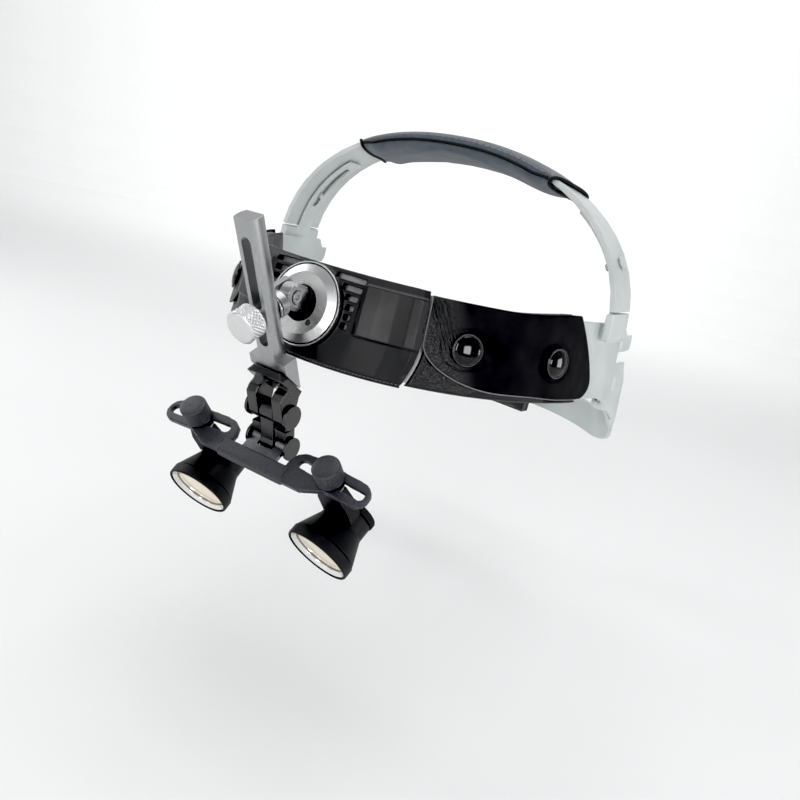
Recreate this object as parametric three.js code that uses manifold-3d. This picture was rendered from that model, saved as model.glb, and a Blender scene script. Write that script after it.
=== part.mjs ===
// Headband loupe: a vented forehead housing on a leather and plastic headband carries a silver
// slide bar, a double hinge and a cross bar with two Galilean magnifier barrels.
// Millimetres. +Z up, the wearer faces -Y, +X is the wearer's left.
// Origin: centre of the head opening, at the middle of the band's height.
import * as THREE from "three";
import { mergeVertices } from "three/addons/utils/BufferGeometryUtils.js";
import Module from "manifold-3d";

const wasm = await Module();
wasm.setup();

// ---- driving dimensions -------------------------------------------------------------------
const GAP = 0.3; // between neighbouring solids
const FLATNESS = 0.02; // merges facets that lie this flat after a cut
const RING = { halfWidth: 87, front: 130, rear: 70, centreY: 30, power: 2.2 };
const LEAN = { front: 12.6, side: 6.2 }; // how far the band leans in towards its top, degrees
const HOUSING = { end: 18.6, low: -17.5, high: 16.2, proud: 5.1, wall: 1.5 };
const SEAM = { at: 18.9, gap: 0.3, turn: 1.5, below: -6 }; // end of the front unit, in degrees
const DISC = { height: 0.3, radius: 14.2, faceRadius: 11.1, hole: 6.6, rim: 6.4, face: 7.9 };
const BAR = { top: [0, -142.6, 27.3], lean: 25.9, width: 8.4, depth: 6, length: 50.3 };
const SLOT = { width: 3.9, top: -5.8, bottom: -45 };
const CLAMP_Z = -33.1; // thumb screw and arm, below the bar's top
const PIVOT_Y = 15.95; // tilt pivot, behind the bar's front face
const FOOT = { width: 16.4, front: -54, rear: -63 };
const UPPER_AXIS = [-112.6, -37.8]; // y, z of the flip-up hinge
const LOWER_AXIS = [-109.5, -50.5]; // y, z of the declination hinge
const PLATE = { y: -113.7, z: -52.2, pitch: 39.4, sweep: 3.8 };
const PD_HALF = 32.1; // half the distance between the two knobs
const LOUPE = { drop: 25.65, front: 18.4, radius: 13.5, waist: 9.2, eyecup: 9.7 };
const CROWN = { halfWidth: 88, rise: 66, baseZ: 8, power: 2.2, midY: -7.5 };
const REAR = { height: 16, thickness: 2, from: 66, drop: -46 };

// ---- materials -----------------------------------------------------------------------------
const finish = (color, roughness, metalness = 0) =>
  new THREE.MeshStandardMaterial({ color, roughness, metalness });
const LOOKS = {
  blackPlastic: [0x16181b, 0.42],
  whitePlastic: [0xe4ebe6, 0.45],
  foam: [0x24262a, 0.95],
  leather: [0x131316, 0.6],
  gloss: [0x0a0a0c, 0.15],
  silver: [0xb9bdbd, 0.38, 0.9],
  chrome: [0xd6d8da, 0.12, 1],
  blackMetal: [0x1b1c1f, 0.5, 0.4],
  rubber: [0x121214, 0.85],
  glass: [0xc8d2d0, 0.05],
  padFabric: [0x2c323b, 0.9],
};

const headLoupe = new THREE.Group();

function add(name, geometry, look, parent = headLoupe) {
  const mesh = new THREE.Mesh(geometry, finish(...LOOKS[look]));
  mesh.name = name;
  parent.add(mesh);
  return mesh;
}

// ---- solids --------------------------------------------------------------------------------
const rad = THREE.MathUtils.degToRad;

function solid(geometry) {
  const bare = geometry.clone();
  for (const key of Object.keys(bare.attributes)) if (key !== "position") bare.deleteAttribute(key);
  const merged = mergeVertices(bare, 1e-4);
  const index = merged.index.array;
  const triangles = [];
  for (let i = 0; i < index.length; i += 3) {
    const [a, b, c] = [index[i], index[i + 1], index[i + 2]];
    if (a !== b && b !== c && c !== a) triangles.push(a, b, c);
  }
  const mesh = new wasm.Mesh({
    numProp: 3,
    vertProperties: merged.attributes.position.array,
    triVerts: new Uint32Array(triangles),
  });
  return new wasm.Manifold(mesh);
}

function geometryOf(manifold) {
  const { vertProperties, triVerts } = manifold.simplify(FLATNESS).getMesh();
  const geometry = new THREE.BufferGeometry();
  geometry.setAttribute("position", new THREE.Float32BufferAttribute(vertProperties, 3));
  geometry.setIndex(new THREE.Uint32BufferAttribute(triVerts, 1));
  return geometry;
}

function join(first, ...rest) {
  return geometryOf(rest.reduce((all, next) => all.add(solid(next)), solid(first)));
}

function cut(body, ...tools) {
  return geometryOf(tools.reduce((left, tool) => left.subtract(solid(tool)), solid(body)));
}

function common(body, other) {
  return geometryOf(solid(body).intersect(solid(other)));
}

function box(x, y, z, centre = [0, 0, 0]) {
  return new THREE.BoxGeometry(x, y, z).translate(...centre);
}

// A round bar along X, Y or Z between two stations on its axis.
function rod(axis, radius, from, to, centre = [0, 0], segments = 28) {
  const geometry = new THREE.CylinderGeometry(radius, radius, to - from, segments);
  const middle = (from + to) / 2;
  if (axis === "x") return geometry.rotateZ(-Math.PI / 2).translate(middle, centre[0], centre[1]);
  if (axis === "y") return geometry.translate(centre[0], middle, centre[1]);
  return geometry.rotateX(Math.PI / 2).translate(centre[0], centre[1], middle);
}

// A turned piece about +Z: profile holds [radius, z] pairs of one closed outline.
function turned(profile, segments = 36) {
  const points = profile.map(([r, z]) => new THREE.Vector2(r, z));
  const onAxis = points[0].x === 0 && points.at(-1).x === 0;
  if (THREE.ShapeUtils.area(points) < 0) points.reverse();
  if (!onAxis) points.push(points[0].clone());
  return new THREE.LatheGeometry(points, segments).rotateX(Math.PI / 2);
}

// A side profile of [y, z] pairs, extruded along X from one station to the other.
function sideProfile(outline, fromX, toX) {
  const shape = new THREE.Shape(outline.map(([y, z]) => new THREE.Vector2(y, z)));
  const geometry = new THREE.ExtrudeGeometry(shape, { depth: toX - fromX, bevelEnabled: false });
  // The shape's x becomes Y, its y becomes Z and its depth becomes X.
  const turn = new THREE.Matrix4().set(0, 0, 1, fromX, 1, 0, 0, 0, 0, 1, 0, 0, 0, 0, 0, 1);
  return geometry.applyMatrix4(turn);
}

// A straight-knurled cylinder about +Z.
function knurled(radius, from, to, teeth, depth) {
  const points = [];
  for (let i = 0; i < teeth * 2; i++) {
    const angle = (i * Math.PI) / teeth;
    const r = i % 2 ? radius - depth : radius;
    points.push(new THREE.Vector2(r * Math.cos(angle), r * Math.sin(angle)));
  }
  const options = { depth: to - from, bevelEnabled: false };
  return new THREE.ExtrudeGeometry(new THREE.Shape(points), options).translate(0, 0, from);
}

// ---- the band's curve ----------------------------------------------------------------------
// A point of a superellipse at a polar angle, with its outward normal.
function superellipse(angle, a, b, power) {
  const c = Math.cos(angle);
  const s = Math.sin(angle);
  const r = (Math.abs(c / a) ** power + Math.abs(s / b) ** power) ** (-1 / power);
  const nx = Math.sign(c) * Math.abs((r * c) / a) ** (power - 1) / a;
  const ny = Math.sign(s) * Math.abs((r * s) / b) ** (power - 1) / b;
  const length = Math.hypot(nx, ny);
  return { x: r * c, y: r * s, nx: nx / length, ny: ny / length };
}

// theta is 0 at the forehead, 90 at the wearer's left and 180 at the back of the head, in degrees.
function ring(theta) {
  const angle = rad(theta - 90);
  const reach = Math.sin(angle) < 0 ? RING.front : RING.rear;
  const p = superellipse(angle, RING.halfWidth, reach, RING.power);
  return { ...p, y: p.y + RING.centreY };
}

// The band's frame at theta: origin on the band, T along it, U up its face, M outwards.
function bandFrame(theta, v = 0, off = 0) {
  const p = ring(theta);
  const front = p.ny < 0 ? LEAN.front : 0;
  const lean = rad(LEAN.side + (front - LEAN.side) * p.ny ** 2);
  const [s, c] = [Math.sin(lean), Math.cos(lean)];
  const T = new THREE.Vector3(-p.ny, p.nx, 0);
  const U = new THREE.Vector3(-p.nx * s, -p.ny * s, c);
  const M = new THREE.Vector3(p.nx * c, p.ny * c, s);
  const origin = new THREE.Vector3(p.x, p.y, 0).addScaledVector(U, v).addScaledVector(M, off);
  return new THREE.Matrix4().makeBasis(T, U, M).setPosition(origin);
}

const along = (value) => (typeof value === "function" ? value : () => value);

// A piece of band between two angles. Its angles may be functions of the height fraction, its
// low and high edges functions of theta, and its faces functions of theta and v. columns and
// levels place the grid's lines as fractions, where even spacing won't do.
function bandPiece({ from, to, low, high, inner, outer, steps = 16, rows = 2, columns, levels }) {
  const across = columns ? columns.length - 1 : steps;
  const up = levels ? levels.length - 1 : rows;
  const geometry = new THREE.BoxGeometry(1, 1, 1, across, up, 1);
  const place = geometry.attributes.position;
  const [fromAt, toAt, lowAt, highAt, innerAt, outerAt] = [from, to, low, high, inner, outer].map(along);
  const p = new THREE.Vector3();
  for (let i = 0; i < place.count; i++) {
    p.fromBufferAttribute(place, i).addScalar(0.5);
    const column = columns ? columns[Math.round(p.x * across)] : p.x;
    const level = levels ? levels[Math.round(p.y * up)] : p.y;
    const theta = fromAt(level) + (toAt(level) - fromAt(level)) * column;
    const v = lowAt(theta) + (highAt(theta) - lowAt(theta)) * level;
    const off = p.z < 0.5 ? innerAt(theta, v) : outerAt(theta, v);
    p.setFromMatrixPosition(bandFrame(theta, v, off));
    place.setXYZ(i, p.x, p.y, p.z);
  }
  return geometry;
}

// The rounded end of a flap: how far its edge has come in at theta.
function roundedEnd(theta, start, end, drop) {
  const t = THREE.MathUtils.clamp((theta - start) / (end - start), 0, 1);
  return drop * (1 - Math.sqrt(1 - t * t));
}

// A piece of the crown arch: u is its polar angle, width runs along Y, off is along the normal.
function crownPoint(u, y, off) {
  const p = superellipse(u, CROWN.halfWidth, CROWN.rise, CROWN.power);
  return new THREE.Vector3(p.x + p.nx * off, y, CROWN.baseZ + p.y + p.ny * off);
}

function crownPiece({ from, to, halfWidth, inner, outer, steps = 20, midY = CROWN.midY }) {
  const geometry = new THREE.BoxGeometry(1, 1, 1, steps, 1, 1);
  const place = geometry.attributes.position;
  for (let i = 0; i < place.count; i++) {
    const u = rad(to + (from - to) * (place.getX(i) + 0.5));
    const y = midY + 2 * halfWidth * place.getY(i);
    const p = crownPoint(u, y, place.getZ(i) < 0 ? inner : outer);
    place.setXYZ(i, p.x, p.y, p.z);
  }
  return geometry;
}

// A local frame turned about X, as a group and as a matrix for cutting tools.
function tiltedGroup(x, y, z, degrees, parent = headLoupe) {
  const group = new THREE.Group();
  group.position.set(x, y, z);
  group.rotation.x = rad(degrees);
  parent.add(group);
  group.updateMatrixWorld(true);
  return group;
}

// The y and z of a world point on the middle plane, seen in a frame.
function seenIn(frame, y, z) {
  const p = frame.worldToLocal(new THREE.Vector3(0, y, z));
  return [p.y, p.z];
}

// Disc frame: x across, y up the facet, z out of the forehead.
const discFrame = tiltedGroup(0, RING.centreY - RING.front, 0, 90 - LEAN.front);
// Bar frame: x across, y back into the bar from its front face, z up the bar, origin at its top.
const barFrame = tiltedGroup(...BAR.top, BAR.lean);
// Plate frame: x across, y back, z out of the cross bar's top face.
const plateFrame = tiltedGroup(0, PLATE.y, PLATE.z, PLATE.pitch);

// ---- front housing and mounting disc -------------------------------------------------------
const BOSS = { radius: 15.4, top: 5.6, floor: 3.4, bore: 14.5 };
const VENT = { rows: 6, top: 13.5, pitch: 3.3, height: 1.9, inner: 15.9, outer: 18.3 };
const PANEL = { inner: 8.5, fold: 0.7, low: -5.4, high: 13.2, raise: 0.9 };
const BACK_PLATE = { low: -16.6, high: 15, inner: -0.2, outer: 1.1 };
const PAD = { low: -19.2, high: 16.6, inner: -4.4, outer: -0.6 };

// The end of a front piece between two heights, by height fraction: shift is its gap to the seam in degrees.
// The seam turns forward towards its lower end.
function seamEnd(low, high, shift) {
  const depth = (v) => Math.max((SEAM.below - v) / (SEAM.below - HOUSING.low), 0);
  return (f) => SEAM.at + shift - SEAM.turn * depth(low + (high - low) * f) ** 1.4;
}

const flip = (value) => (typeof value === "function" ? (f) => -value(f) : -value);

// A span on the wearer's left (side 1) or right (side -1), lowest angle first.
function span(side, from, to) {
  return side > 0 ? { from, to } : { from: flip(to), to: flip(from) };
}

// The same end on both sides of the forehead.
const bothWays = (end) => ({ from: flip(end), to: end });

// A raised panel on each side of the vents, with a chin below it that leans back.
function housingProud(theta, v) {
  const inPanel = Math.abs(theta) > PANEL.inner + PANEL.fold / 2 && v > PANEL.low && v < PANEL.high;
  const chin = v < PANEL.low ? (PANEL.low - v) * 0.17 : 0;
  const brow = v > PANEL.high ? (v - PANEL.high) * 0.5 : 0;
  const end = THREE.MathUtils.smoothstep(Math.abs(theta), 16.8, HOUSING.end);
  return HOUSING.proud + (inPanel ? PANEL.raise : 0) - chin - brow - 1.6 * end;
}

function frontHousing() {
  const { end, low, high, wall } = HOUSING;
  const fold = PANEL.inner + PANEL.fold;
  const half = [0, 4.3, PANEL.inner, fold, 11.5, 14, 16.2, 17.6, end];
  const thetas = [...half.slice(1).map((t) => -t).reverse(), ...half];
  const lower = [low, -15.5, -12.5, -9.5, PANEL.low - 0.01, PANEL.low + 0.5];
  const upper = [0, 6, PANEL.high - 0.5, PANEL.high + 0.01, high];
  const heights = [...lower, ...upper];
  const shell = bandPiece({
    ...bothWays(seamEnd(low, high, -SEAM.gap)),
    low,
    high,
    inner: 1.5,
    outer: housingProud,
    columns: thetas.map((t) => (t + end) / (2 * end)),
    levels: heights.map((v) => (v - low) / (high - low)),
  });
  const inside = { low: low + wall, high: high - wall, inner: 0, outer: HOUSING.proud - 2.6 };
  const insideEnd = seamEnd(inside.low, inside.high, -SEAM.gap - wall);
  const hollow = bandPiece({ ...inside, ...bothWays(insideEnd), steps: 12, rows: 6 });
  const toWorld = (geometry) => geometry.applyMatrix4(discFrame.matrixWorld);
  const at = [0, DISC.height];
  const boss = toWorld(rod("z", BOSS.radius, 1.6, BOSS.top, at, 40));
  const recess = toWorld(rod("z", BOSS.bore, BOSS.floor, 12, at, 40));
  const hub = toWorld(rod("z", DISC.hole, 0, 12, at, 32));
  const vents = [];
  for (let row = 0; row < VENT.rows; row++) {
    const up = VENT.top - row * VENT.pitch;
    const inner = Math.sqrt(Math.max(VENT.inner ** 2 - up ** 2, 0));
    const outer = VENT.outer + Math.max(up, 0) * 0.12;
    for (const side of [-1, 1]) {
      const across = (side * (inner + outer)) / 2;
      vents.push(toWorld(box(outer - inner, VENT.height, 12, [across, up + DISC.height, 4])));
    }
  }
  return cut(join(cut(shell, hollow), boss), recess, hub, ...vents);
}

add("front_housing", frontHousing(), "blackPlastic");
add(
  "housing_back_plate",
  bandPiece({ ...bothWays(seamEnd(BACK_PLATE.low, BACK_PLATE.high, SEAM.gap)), ...BACK_PLATE, rows: 8 }),
  "whitePlastic",
);
add(
  "forehead_pad",
  bandPiece({ ...bothWays(seamEnd(PAD.low, PAD.high, 0)), ...PAD, rows: 8 }),
  "foam",
);

const trimRing = turned([[14.6, 5.95], [15.3, 5.95], [15.2, 6.5], [14.7, 6.5]], 40);
add("disc_trim_ring", trimRing, "silver", discFrame).position.y = DISC.height;

const GRUB = { at: [5.6, -5.9], radius: 0.9 };

function mountingDisc() {
  const { radius, faceRadius, hole, rim, face } = DISC;
  const back = [[hole, 3.8], [radius - 0.4, 3.8], [radius, 4.4]];
  const front = [[radius, rim], [faceRadius, face], [hole, face]];
  const grubHole = rod("z", GRUB.radius + GAP, 5, 9, GRUB.at, 16);
  return cut(turned([...back, ...front], 40), grubHole);
}

add("mounting_disc", mountingDisc(), "silver", discFrame).position.y = DISC.height;
add("disc_grub_screw", rod("z", GRUB.radius, 5.4, 7.3, GRUB.at, 16), "blackMetal", discFrame).position.y =
  DISC.height;

// ---- leather flaps and snaps ------------------------------------------------------------------
const FLAP = { from: 18.95, reach: 58, high: 15, low: -15.2, rise: 14.2, underLow: -17.8 };
const SNAPS = [[25.7, -1.2], [44.3, -1.6]]; // theta, v

// How far round the leather reaches, by height fraction: its end slants back to the top corner.
function leatherEnd(f) {
  const slant = Math.max((f - 0.2) / 0.8, 0) ** 1.3;
  const corner = Math.max((0.2 - f) / 0.2, 0);
  return FLAP.reach - 8.2 * slant - 4.7 * (1 - Math.sqrt(1 - corner ** 2));
}

const leatherHigh = (t) => FLAP.high + 2.2 * THREE.MathUtils.smoothstep(Math.abs(t), 32, 50);
const flapLow = (t) => FLAP.low + roundedEnd(-Math.abs(t), -33, -FLAP.from, FLAP.rise);

function snapCap() {
  const dome = [[0, 2.3], [2.2, 2.1], [4.2, 1.45], [5.5, 0.6], [6, 0], [0, 0]];
  return turned(dome, 22);
}

for (const [side, name] of [[1, "left"], [-1, "right"]]) {
  const reach = { ...span(side, FLAP.from, leatherEnd), high: leatherHigh, rows: 5 };
  const flap = bandPiece({ ...reach, low: flapLow, inner: 2.3, outer: 3.7, steps: 12 });
  add(`${name}_leather_flap`, flap, "leather");
  const underReach = span(side, seamEnd(FLAP.underLow, FLAP.high, SEAM.gap), leatherEnd);
  const underlay = bandPiece({
    ...underReach,
    low: FLAP.underLow,
    high: leatherHigh,
    inner: -2,
    outer: -0.6,
    steps: 9,
    rows: 8,
  });
  add(`${name}_leather_underlay`, underlay, "leather");
  SNAPS.forEach(([theta, v], i) => {
    const cap = snapCap().applyMatrix4(bandFrame(side * theta, v, 4.05));
    add(`${name}_${i ? "rear" : "front"}_snap`, cap, "gloss");
  });
}

// ---- side yokes ------------------------------------------------------------------------------
const YOKE = { inner: -0.3, outer: 1.8, end: 88, top: 15.4, bottom: -16.6 };
const KEEPER = { from: 73, to: 77, reach: 11, inner: -4.9, face: -3.7 };

// The rear strap's middle line runs down and back from inside the yoke to the nape.
function strapMiddle(theta) {
  return REAR.drop * THREE.MathUtils.smoothstep(Math.abs(theta), 50, 124);
}

// The strap lies inside the yoke and clear of the band's curve at the nape.
function strapInner(theta) {
  return -2.9 + 6 * THREE.MathUtils.smoothstep(Math.abs(theta), 100, 150);
}

function yokePlate(side) {
  const { inner, outer, end, top, bottom } = YOKE;
  const low = (t) => bottom - 17 * THREE.MathUtils.smoothstep(Math.abs(t), 63, 94);
  const high = (t) => top - 27 * THREE.MathUtils.smoothstep(Math.abs(t), 76, 89);
  const plate = bandPiece({ ...span(side, 47, end), low, high, inner, outer, steps: 18, rows: 2 });
  const tongue = bandPiece({ ...span(side, 20.4, 49), low: -8, high: 8, inner, outer, steps: 12, rows: 1 });
  const rib = { ...span(side, 75, 84), low: 3.2, high: 10.5, inner: outer - 0.5, outer: outer + 0.9 };
  const bump = { ...span(side, 76, 83), low: -15, high: -8.4, inner: outer - 0.5, outer: outer + 0.7 };
  const ribs = [rib, bump].map((piece) => bandPiece({ ...piece, steps: 3, rows: 1 }));
  const window = { ...span(side, 75, 84), low: -2.4, high: 2.6, inner: -2, outer: 5 };
  return cut(join(plate, tongue, ...ribs), bandPiece({ ...window, steps: 3, rows: 1 }));
}

// A bridge on the yoke's inner side that keeps the rear strap against it.
function strapKeeper(side) {
  const { from, to, reach, inner, face } = KEEPER;
  const low = (t) => strapMiddle(t) - reach;
  const high = (t) => strapMiddle(t) + reach;
  const bridge = bandPiece({ ...span(side, from, to), low, high, inner, outer: 0, steps: 2, rows: 1 });
  const room = REAR.height / 2 + 1;
  const channel = bandPiece({
    ...span(side, from - 2, to + 2),
    low: (t) => strapMiddle(t) - room,
    high: (t) => strapMiddle(t) + room,
    inner: face,
    outer: YOKE.inner,
    steps: 4,
    rows: 1,
  });
  return cut(bridge, channel);
}

function sideYoke(side) {
  const arch = (from, to) => (side > 0 ? { from, to } : { from: 180 - to, to: 180 - from });
  const shoulder = crownPiece({ ...arch(0.4, 8), halfWidth: 13.5, inner: -3.6, outer: 0, steps: 3 });
  const tongue = crownPiece({ ...arch(5, 40), halfWidth: 5, inner: -4.5, outer: -2.9, steps: 12 });
  const slot = crownPiece({ ...arch(17, 36), halfWidth: 1.9, inner: -9, outer: 2, steps: 6 });
  return join(yokePlate(side), strapKeeper(side), shoulder, cut(tongue, slot));
}

for (const [side, name] of [[1, "left"], [-1, "right"]]) {
  add(`${name}_side_yoke`, sideYoke(side), "whitePlastic");
}

// ---- crown strap -----------------------------------------------------------------------------
const PEG_U = 21.5; // polar angle of the strap pegs on the arch
const strap = crownPiece({ from: 8.4, to: 171.6, halfWidth: 13.5, inner: -2.4, outer: 0, steps: 30 });

function strapPeg(side) {
  const u = rad(side > 0 ? PEG_U : 180 - PEG_U);
  const out = crownPoint(u, 0, 1).sub(crownPoint(u, 0, 0));
  const head = turned([[0, -6], [1.5, -6], [1.5, 0.35], [2.8, 0.35], [2.6, 1.6], [0, 1.9]], 20);
  const aim = new THREE.Quaternion().setFromUnitVectors(new THREE.Vector3(0, 0, 1), out);
  const at = crownPoint(u, CROWN.midY, 0);
  return head.applyQuaternion(aim).translate(at.x, at.y, at.z);
}

function pegHole(side) {
  const u = rad(side > 0 ? PEG_U : 180 - PEG_U);
  const out = crownPoint(u, 0, 1).sub(crownPoint(u, 0, 0));
  const aim = new THREE.Quaternion().setFromUnitVectors(new THREE.Vector3(0, 0, 1), out);
  const at = crownPoint(u, CROWN.midY, 0);
  return rod("z", 1.8, -5, 3, [0, 0], 20).applyQuaternion(aim).translate(at.x, at.y, at.z);
}

add("crown_strap", cut(strap, pegHole(1), pegHole(-1)), "whitePlastic");
add("left_strap_peg", strapPeg(1), "whitePlastic");
add("right_strap_peg", strapPeg(-1), "whitePlastic");
add(
  "crown_pad",
  crownPiece({ from: 42, to: 138, halfWidth: 18, inner: -8.6, outer: -2.8, steps: 24 }),
  "padFabric",
);

// ---- rear straps and ratchet ------------------------------------------------------------------
const RATCHET = { theta: 180, half: 19, reach: 15, pinion: 5 };
const atNape = (from, to) => ({ low: REAR.drop + from, high: REAR.drop + to });

// At the nape each strap narrows to one rack: the left one above the pinion, the right one below.
function rearStrap(side) {
  const rack = (theta) => THREE.MathUtils.smoothstep(Math.abs(theta), 163, 168);
  const half = REAR.height / 2;
  const trim = half + RATCHET.pinion + 0.5;
  return bandPiece({
    ...span(side, REAR.from, 188),
    low: (theta) => strapMiddle(theta) - half + (side > 0 ? trim * rack(theta) : 0),
    high: (theta) => strapMiddle(theta) + half - (side < 0 ? trim * rack(theta) : 0),
    inner: strapInner,
    outer: (theta) => strapInner(theta) + REAR.thickness,
    steps: 36,
    rows: 1,
  });
}

function ratchetHousing() {
  const { theta, half, reach } = RATCHET;
  const outside = { from: theta - half, to: theta + half, ...atNape(-reach, reach) };
  const shell = bandPiece({ ...outside, inner: 1.2, outer: 8.6, steps: 12, rows: 1 });
  const room = { from: theta - half - 4, to: theta + half + 4, ...atNape(-9, 9) };
  const cavity = bandPiece({ ...room, inner: -1, outer: 6.2, steps: 12, rows: 1 });
  const spindle = rod("y", 3.4, 95, 125, [0, REAR.drop]);
  return cut(shell, cavity, spindle);
}

for (const [side, name] of [[1, "left"], [-1, "right"]]) {
  add(`${name}_rear_strap`, rearStrap(side), "whitePlastic");
}
add("ratchet_housing", ratchetHousing(), "whitePlastic");
const cover = { from: 161.4, to: 198.6, ...atNape(-14.4, 14.4), inner: -0.4, outer: 0.9, steps: 12, rows: 1 };
add("ratchet_cover", bandPiece(cover), "whitePlastic");
const napePad = { from: 158, to: 202, ...atNape(-13, 13), inner: -6.4, outer: -0.8, steps: 14, rows: 1 };
add("occipital_pad", bandPiece(napePad), "foam");

// The knob's frame: z points out of the back of the head.
const knobFrame = tiltedGroup(0, RING.centreY + RING.rear, REAR.drop, -90);

function ratchetKnob() {
  const grip = knurled(15, 9.2, 19, 16, 1.2);
  const dome = turned([[0, 18.5], [13, 18.5], [11.5, 21], [0, 21.6]], 28);
  const spindle = rod("z", 3, 5.4, 9.6);
  return join(grip, dome, spindle);
}

add("ratchet_knob", ratchetKnob(), "blackPlastic", knobFrame);
const pinion = join(knurled(RATCHET.pinion, 2.6, 5.1, 10, 1.1), rod("z", 2.2, 1.4, 3));
add("ratchet_pinion", pinion, "blackPlastic", knobFrame);

// ---- swivel post and its pivot ----------------------------------------------------------------
// The post turns in the disc. Its flat tab carries the tilt pivot.
const TAB = { from: -1.5, to: 2.9, height: 9.6 };
const pivotWorld = barFrame.localToWorld(new THREE.Vector3(0, PIVOT_Y, CLAMP_Z));
const [pivotUp, pivotOut] = seenIn(discFrame, pivotWorld.y, pivotWorld.z);
const PIVOT = { up: pivotUp - DISC.height, out: pivotOut };

function swivelPost() {
  const round = rod("z", DISC.hole - GAP, 2.2, DISC.rim + 0.6, [0, 0], 32);
  const root = 4;
  const bevel = 1.6;
  const half = TAB.height / 2;
  const [low, high] = [PIVOT.up - half, PIVOT.up + half];
  const section = [
    [TAB.from, low], [TAB.to - bevel, low], [TAB.to, low + bevel],
    [TAB.to, high - bevel], [TAB.to - bevel, high], [TAB.from, high],
  ];
  const shape = new THREE.Shape(section.map(([x, y]) => new THREE.Vector2(x, y)));
  const options = { depth: PIVOT.out + half - root, bevelEnabled: false };
  const bar = new THREE.ExtrudeGeometry(shape, options).translate(0, 0, root);
  // The tab's free end is rounded about the pivot.
  const middle = (root + PIVOT.out) / 2;
  const sides = box(9, 2 * half, PIVOT.out - root, [0, PIVOT.up, middle]);
  const tab = common(bar, join(sides, rod("x", half, -4.5, 4.5, [PIVOT.up, PIVOT.out], 32)));
  const hole = rod("x", 1.5, -5, 6, [PIVOT.up, PIVOT.out], 20);
  const headSeat = rod("x", 2.6, 1.9, 6, [PIVOT.up, PIVOT.out], 20);
  return cut(join(round, tab), hole, headSeat);
}

function pivotScrew() {
  const shank = rod("x", 1.2, -3.9, 2.4, [PIVOT.up, PIVOT.out], 16);
  const head = rod("x", 2.3, 2.2, 3.4, [PIVOT.up, PIVOT.out], 20);
  const socket = rod("x", 1.1, 2.6, 4, [PIVOT.up, PIVOT.out], 6);
  return cut(join(shank, head), socket);
}

add("swivel_post", swivelPost(), "chrome", discFrame).position.y = DISC.height;
add("pivot_screw", pivotScrew(), "chrome", discFrame).position.y = DISC.height;

// ---- slide bar, arm and thumb screw -----------------------------------------------------------
function barSection(y0) {
  // Flat front and back, gently bowed sides.
  const half = BAR.width / 2;
  const bow = 0.7;
  const section = new THREE.Shape();
  section.moveTo(bow - half, y0);
  section.lineTo(half - bow, y0);
  section.quadraticCurveTo(half + bow, y0 + BAR.depth / 2, half - bow, y0 + BAR.depth);
  section.lineTo(bow - half, y0 + BAR.depth);
  section.quadraticCurveTo(-half - bow, y0 + BAR.depth / 2, bow - half, y0);
  return section;
}

function slideBar() {
  const options = { depth: BAR.length + 1, bevelEnabled: false, curveSegments: 6 };
  const shaft = new THREE.ExtrudeGeometry(barSection(0), options).translate(0, 0, -BAR.length - 1);
  const foot = sideProfile(
    [[0, -BAR.length], [0, FOOT.front], [5.6, FOOT.rear], [6.1, FOOT.rear], [6.1, -BAR.length]],
    -FOOT.width / 2,
    FOOT.width / 2,
  );
  const r = SLOT.width / 2;
  const slot = join(
    box(SLOT.width, 12, SLOT.top - SLOT.bottom - 2 * r, [0, 3, (SLOT.top + SLOT.bottom) / 2]),
    rod("y", r, -3, 9, [0, SLOT.top - r]),
    rod("y", r, -3, 9, [0, SLOT.bottom + r]),
  );
  const screwHole = rod("y", 1.3, -2, 9, [0, -58.6], 16);
  return cut(join(shaft, foot), slot, screwHole);
}

add("slider_bar", slideBar(), "silver", barFrame);

const thumb = join(
  knurled(5.75, 0, 7.1, 24, 0.3),
  rod("z", 3, 7, 9.1),
  rod("z", 1.65, 9, 19.6),
).rotateX(-Math.PI / 2);
add("thumb_screw", thumb, "silver", barFrame).position.set(0, -9.5, CLAMP_Z);

const washer = turned([[2, 0], [4.6, 0], [4.6, 0.7], [2, 0.7]], 24).rotateX(-Math.PI / 2);
add("clamp_washer", washer, "chrome", barFrame).position.set(0, BAR.depth + GAP, CLAMP_Z);

// The arm: a round clamp head behind the bar and a side plate that ends in the pivot eye.
function tiltArm() {
  const back = BAR.depth + 1.3;
  const head = rod("y", 4.7, back, back + 3, [0, CLAMP_Z], 32);
  const plate = sideProfile(
    [[back + 0.2, CLAMP_Z + 5], [PIVOT_Y + 3.2, CLAMP_Z + 5], [PIVOT_Y + 4.6, CLAMP_Z + 2],
      [PIVOT_Y + 4.6, CLAMP_Z - 2], [PIVOT_Y + 2, CLAMP_Z - 4.6], [PIVOT_Y - 2, CLAMP_Z - 4.6],
      [back + 3, CLAMP_Z - 4], [back + 0.2, CLAMP_Z - 4]],
    -4.4,
    -1.9,
  );
  const pivotHole = rod("x", 1.5, -8, 3, [PIVOT_Y, CLAMP_Z], 20);
  const screwHole = rod("y", 1.95, 0, 15, [0, CLAMP_Z], 24);
  return cut(join(head, plate), pivotHole, screwHole);
}

add("tilt_arm", tiltArm(), "silver", barFrame);

// ---- flip-up hinge -----------------------------------------------------------------------------
const upperInBar = seenIn(barFrame, ...UPPER_AXIS);
const KNUCKLE = { inner: 3.5, outer: 8.2, radius: 4.2, eye: 4.0, cap: 4.7, bore: 1.8, pin: 1.5 };

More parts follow.
